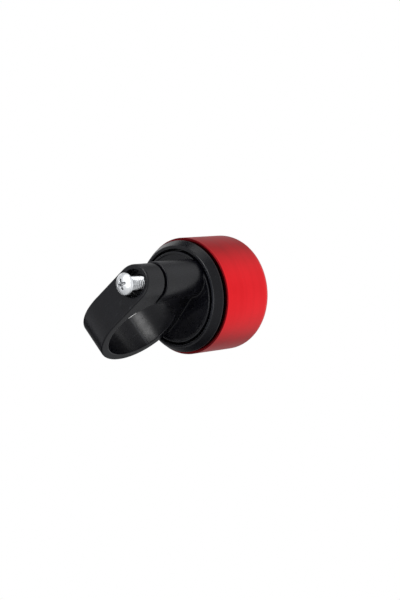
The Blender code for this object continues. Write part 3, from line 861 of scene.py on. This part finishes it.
def make_inside():
    bell = (0, BELL_Y)
    moulded("spindle", "clamp", "steel", spindle_distance, 0.15)
    moulded("star_wheel", "clamp", "acetal", star_distance, 0.15)
    moulded("retaining_clip", "clamp", "steel", clip_distance, 0.08)
    moulded("hammer_arm", "hammer", "steel", arm_distance, 0.12)
    moulded("bridge", "cup", "steel", bridge_distance, 0.2)
    moulded(
        "threaded_insert", "clamp", "brass",
        lambda x, y, z: insert_distance(x, y - SCREW_Y, z), 0.12,
    )
    low = DISC_TOP + 0.25
    high = low + 0.5
    lathed(
        "thrust_washer", "clamp", "acetal",
        [(2.35, low, 0.1), (5.0, low, 0.15), (5.0, high, 0.15), (2.35, high, 0.1)],
        bell,
    )
    lathed(
        "ring_bush", "cup", "brass",
        [(2.12, 16.35, 0.12), (2.6, 16.35, 0.12), (2.6, 18.6, 0.12), (2.12, 18.6, 0.12)],
        bell,
    )
    low = CROWN_Z - 3.55
    high = CROWN_Z - 2.95
    lathed(
        "dome_washer", "cup", "black_rubber",
        [(1.9, low, 0.15), (3.3, low, 0.2), (3.3, high, 0.2), (1.9, high, 0.15)],
        bell,
    )
    striker = (pivot.x + HEAD_FROM_PIVOT.x, pivot.y + HEAD_FROM_PIVOT.y)
    lathed(
        "hammer_head", "hammer", "steel",
        [
            (0, 18.7, 0), (0.7, 18.7, 0.15), (0.7, 21.1, 0.05),
            (1.7, 21.1, 0.35), (1.7, 23.7, 0.45), (0, 23.7, 0),
        ],
        striker,
    )
    lathed(
        "hammer_pin", "cup", "steel",
        [
            (0, 16.6, 0), (PIN_R, 16.6, 0.15), (PIN_R, 23.6, 0.05),
            (1.6, 23.6, 0.1), (1.6, 24.4, 0.35), (0, 24.4, 0),
        ],
        (pivot.x, pivot.y),
    )
    for side, x in (("left", -POST_X), ("right", POST_X)):
        screw(
            f"bridge_screw_{side}", "cup", 1, (x, BELL_Y),
            head_r=1.9, head_h=1.3, rim=0.5, radius=0.85, depth=0.2,
            pitch=0.5, cross=1.0, sink=0.7, turn=0.3,
        )
    screw(
        "dome_screw", "cup", 1, (0, BELL_Y),
        head_r=3.0, head_h=1.3, rim=0.45, radius=1.5, depth=0.28,
        pitch=0.5, cross=1.6, sink=0.8, turn=0.9,
    )
    make_spring()


# Camera, floor and light

FORWARD = Vector((-0.4134, 0.5368, 0.7355)).normalized()
IMAGE_DOWN = Vector((0.7412, 0.6676, -0.0707))
RIGHT = IMAGE_DOWN.cross(FORWARD).normalized()
UP = RIGHT.cross(FORWARD).normalized()
DISTANCE = 0.400
ASIDE = 0.01942
BELOW = 0.0045
LENS = 83.1
FLOOR_Z = -0.9
FLOOR_HALF = 6.0
SKY = (  # direction, cosines where its light starts and is full, strength at each
    ((0.48, -0.48, 0.73), 0.1, 0.95, 0.02, 1.1),
    ((0.0, 0.0, 1.0), 0.0, 0.95, 0.02, 0.4),
)
BACKDROP = (0.0, 0.25, 0.62, 1.0)  # heights where it starts and is full, strength at each
LIGHTS = (  # name, place and side in metres, power in watts
    ("key", (-0.31, -0.35, -0.62), 0.34, 2.4),
    ("edge", (0.15, -0.07, -0.58), 0.18, 0.5),
    ("near_side", (-0.55, -0.55, 0.15), 0.5, 1.2),
    ("far_side", (-0.75, 0.25, 0.20), 0.6, 1.0),
)


def make_camera():
    camera = bpy.data.cameras.new("camera")
    camera.sensor_width = 36
    camera.lens = LENS
    camera.clip_start = 0.01
    camera.clip_end = 20
    obj = bpy.data.objects.new("camera", camera)
    bpy.context.scene.collection.objects.link(obj)
    turn = Matrix((RIGHT, UP, -FORWARD)).transposed()
    obj.matrix_world = Matrix.LocRotScale(
        -FORWARD * DISTANCE + RIGHT * ASIDE + UP * BELOW, turn.to_quaternion(), None
    )
    bpy.context.scene.camera = obj


def make_floor():
    bm = bmesh.new()
    bmesh.ops.create_grid(bm, x_segments=8, y_segments=8, size=FLOOR_HALF)
    mesh = bpy.data.meshes.new("floor")
    bm.to_mesh(mesh)
    bm.free()
    floor = placed("floor", mesh)
    floor.location.z = FLOOR_Z
    mesh.materials.append(floor_paint())


def make_light(name, place, side, power):
    """A square lamp that faces the origin."""
    light = bpy.data.lights.new(name, "AREA")
    light.shape = "SQUARE"
    light.size = side
    light.energy = power
    obj = bpy.data.objects.new(name, light)
    bpy.context.scene.collection.objects.link(obj)
    obj.location = place
    obj.rotation_mode = "QUATERNION"
    obj.rotation_quaternion = (-Vector(place)).to_track_quat("-Z", "Y")


def smooth_rise(tree, values):
    """A node that rises smoothly, from values of (start, end, strength before, strength after)."""
    node = tree.nodes.new("ShaderNodeMapRange")
    node.interpolation_type = "SMOOTHSTEP"
    for name, value in zip(("From Min", "From Max", "To Min", "To Max"), values):
        node.inputs[name].default_value = value
    return node


def make_world():
    """Seen, a white backdrop that greys towards the floor; as light, soft SKY from above."""
    world = bpy.data.worlds.new("studio")
    bpy.context.scene.world = world
    world.use_nodes = True
    tree = world.node_tree
    tree.nodes.clear()
    seen = tree.nodes.new("ShaderNodeBackground")
    seen.inputs["Color"].default_value = (1, 1, 1, 1)
    place = tree.nodes.new("ShaderNodeTexCoord")
    height = tree.nodes.new("ShaderNodeSeparateXYZ")
    sweep = smooth_rise(tree, BACKDROP)
    tree.links.new(place.outputs["Generated"], height.inputs[0])
    tree.links.new(height.outputs["Z"], sweep.inputs["Value"])
    tree.links.new(sweep.outputs["Result"], seen.inputs["Strength"])
    level = tree.nodes.new("ShaderNodeMath")
    level.operation = "MAXIMUM"
    for socket, (direction, *rise_values) in zip(level.inputs, SKY):
        towards = tree.nodes.new("ShaderNodeVectorMath")
        towards.operation = "DOT_PRODUCT"
        towards.inputs[1].default_value = Vector(direction).normalized()
        rise = smooth_rise(tree, rise_values)
        tree.links.new(place.outputs["Generated"], towards.inputs[0])
        tree.links.new(towards.outputs["Value"], rise.inputs["Value"])
        tree.links.new(rise.outputs["Result"], socket)
    room = tree.nodes.new("ShaderNodeBackground")
    room.inputs["Color"].default_value = (0.97, 0.98, 1.0, 1)
    tree.links.new(level.outputs[0], room.inputs["Strength"])
    ray = tree.nodes.new("ShaderNodeLightPath")
    mix = tree.nodes.new("ShaderNodeMixShader")
    out = tree.nodes.new("ShaderNodeOutputWorld")
    tree.links.new(ray.outputs["Is Camera Ray"], mix.inputs[0])
    tree.links.new(room.outputs[0], mix.inputs[1])
    tree.links.new(seen.outputs[0], mix.inputs[2])
    tree.links.new(mix.outputs[0], out.inputs[0])


looks = {
    look.__name__: look()
    for look in (black_nylon, red_anodised, bright_zinc, steel, brass, acetal, black_rubber)
}
make_outside()
make_inside()
make_camera()
make_world()
make_floor()
for light in LIGHTS:
    make_light(*light)
bpy.context.scene.view_settings.view_transform = "Standard"
